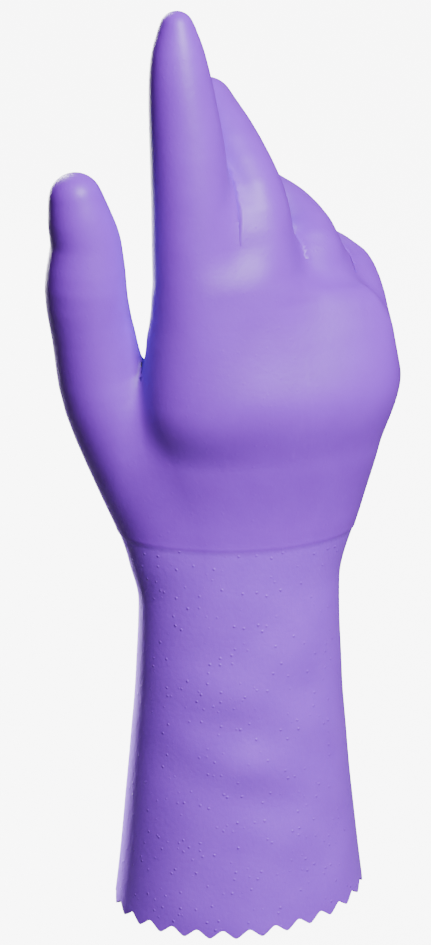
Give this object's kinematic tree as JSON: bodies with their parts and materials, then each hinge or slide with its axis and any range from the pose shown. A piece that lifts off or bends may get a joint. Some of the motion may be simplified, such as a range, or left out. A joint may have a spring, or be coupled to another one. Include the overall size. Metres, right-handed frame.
{
  "type": "rubber glove",
  "caption": "Right-hand household rubber glove with a flared, pinked cuff, a second coat over the hand, a knitted liner and fingers that bend.",
  "frame": {"origin": "centre of the hand opening, in the plane of the pinked rim's tips", "axes": "+Z from the cuff to the fingertips, +X from the thumb side to the little finger side, +Y from the back of the hand to the palm"},
  "size_m": [0.1211, 0.1039, 0.3202],
  "materials": {
    "base_coat": "satin, finely pimpled",
    "second_coat": "satin, smooth",
    "liner": "knitted cotton"
  },
  "bodies": {
    "cuff": {"cuff_base_coat": "base_coat", "cuff_liner": "liner", "wrist_bend_zone": "base_coat"},
    "palm": {"palm_second_coat": "second_coat", "palm_base_coat": "base_coat", "palm_liner": "liner", "knuckle_bend_zone": "second_coat", "thumb_root_bend_zone": "second_coat"},
    "finger_roots": {"finger_roots_second_coat": "second_coat", "finger_roots_base_coat": "base_coat", "finger_roots_liner": "liner", "index_bend_zone": "second_coat", "middle_bend_zone": "second_coat", "ring_bend_zone": "second_coat", "little_bend_zone": "second_coat"},
    "index": {"index_second_coat": "second_coat", "index_base_coat": "base_coat", "index_liner": "liner"},
    "middle": {"middle_second_coat": "second_coat", "middle_base_coat": "base_coat", "middle_liner": "liner"},
    "ring": {"ring_second_coat": "second_coat", "ring_base_coat": "base_coat", "ring_liner": "liner"},
    "little": {"little_second_coat": "second_coat", "little_base_coat": "base_coat", "little_liner": "liner"},
    "thumb": {"thumb_second_coat": "second_coat", "thumb_base_coat": "base_coat", "thumb_liner": "liner", "thumb_tip_bend_zone": "second_coat"},
    "thumb_tip": {"thumb_tip_second_coat": "second_coat", "thumb_tip_base_coat": "base_coat", "thumb_tip_liner": "liner"}
  },
  "joints": [
    {"name": "wrist_flex", "type": "hinge", "parent": "cuff", "child": "palm", "pos_m": [-0.0004, 0.0005, 0.12], "axis": [-1, 0, 0], "range_deg": [-45, 45], "stiffness_Nm_per_rad": 0.6, "deforming": ["wrist_bend_zone"]},
    {"name": "knuckle_flex", "type": "hinge", "parent": "palm", "child": "finger_roots", "pos_m": [0.0102, -0.0035, 0.198], "axis": [-1, 0, 0], "range_deg": [-15, 40], "stiffness_Nm_per_rad": 0.15, "deforming": ["knuckle_bend_zone"]},
    {"name": "thumb_flex", "type": "hinge", "parent": "palm", "child": "thumb", "pos_m": [-0.0505, 0.008, 0.212], "axis": [-0.8619, 0.507, 0], "range_deg": [-18, 22], "stiffness_Nm_per_rad": 0.06, "deforming": ["thumb_root_bend_zone"]},
    {"name": "thumb_tip_flex", "type": "hinge", "parent": "thumb", "child": "thumb_tip", "pos_m": [-0.0519, 0.007, 0.233], "axis": [-0.8619, 0.507, 0], "range_deg": [-15, 32], "stiffness_Nm_per_rad": 0.04, "deforming": ["thumb_tip_bend_zone"]},
    {"name": "index_flex", "type": "hinge", "parent": "finger_roots", "child": "index", "pos_m": [-0.0188, -0.004, 0.264], "axis": [-0.98, -0.196, -0.0332], "range_deg": [-10, 65], "stiffness_Nm_per_rad": 0.04, "deforming": ["index_bend_zone"]},
    {"name": "middle_flex", "type": "hinge", "parent": "finger_roots", "child": "middle", "pos_m": [0.0052, 0.001, 0.252], "axis": [-0.9602, -0.2787, 0.0204], "range_deg": [-42, 40], "stiffness_Nm_per_rad": 0.04, "deforming": ["middle_bend_zone"]},
    {"name": "ring_flex", "type": "hinge", "parent": "finger_roots", "child": "ring", "pos_m": [0.0266, 0.013, 0.236], "axis": [-0.9572, -0.2658, 0.1149], "range_deg": [-55, 28], "stiffness_Nm_per_rad": 0.04, "deforming": ["ring_bend_zone"]},
    {"name": "little_flex", "type": "hinge", "parent": "finger_roots", "child": "little", "pos_m": [0.0442, 0.0245, 0.224], "axis": [-0.9367, -0.2641, 0.2301], "range_deg": [-65, 22], "stiffness_Nm_per_rad": 0.04, "deforming": ["little_bend_zone"]}
  ]
}
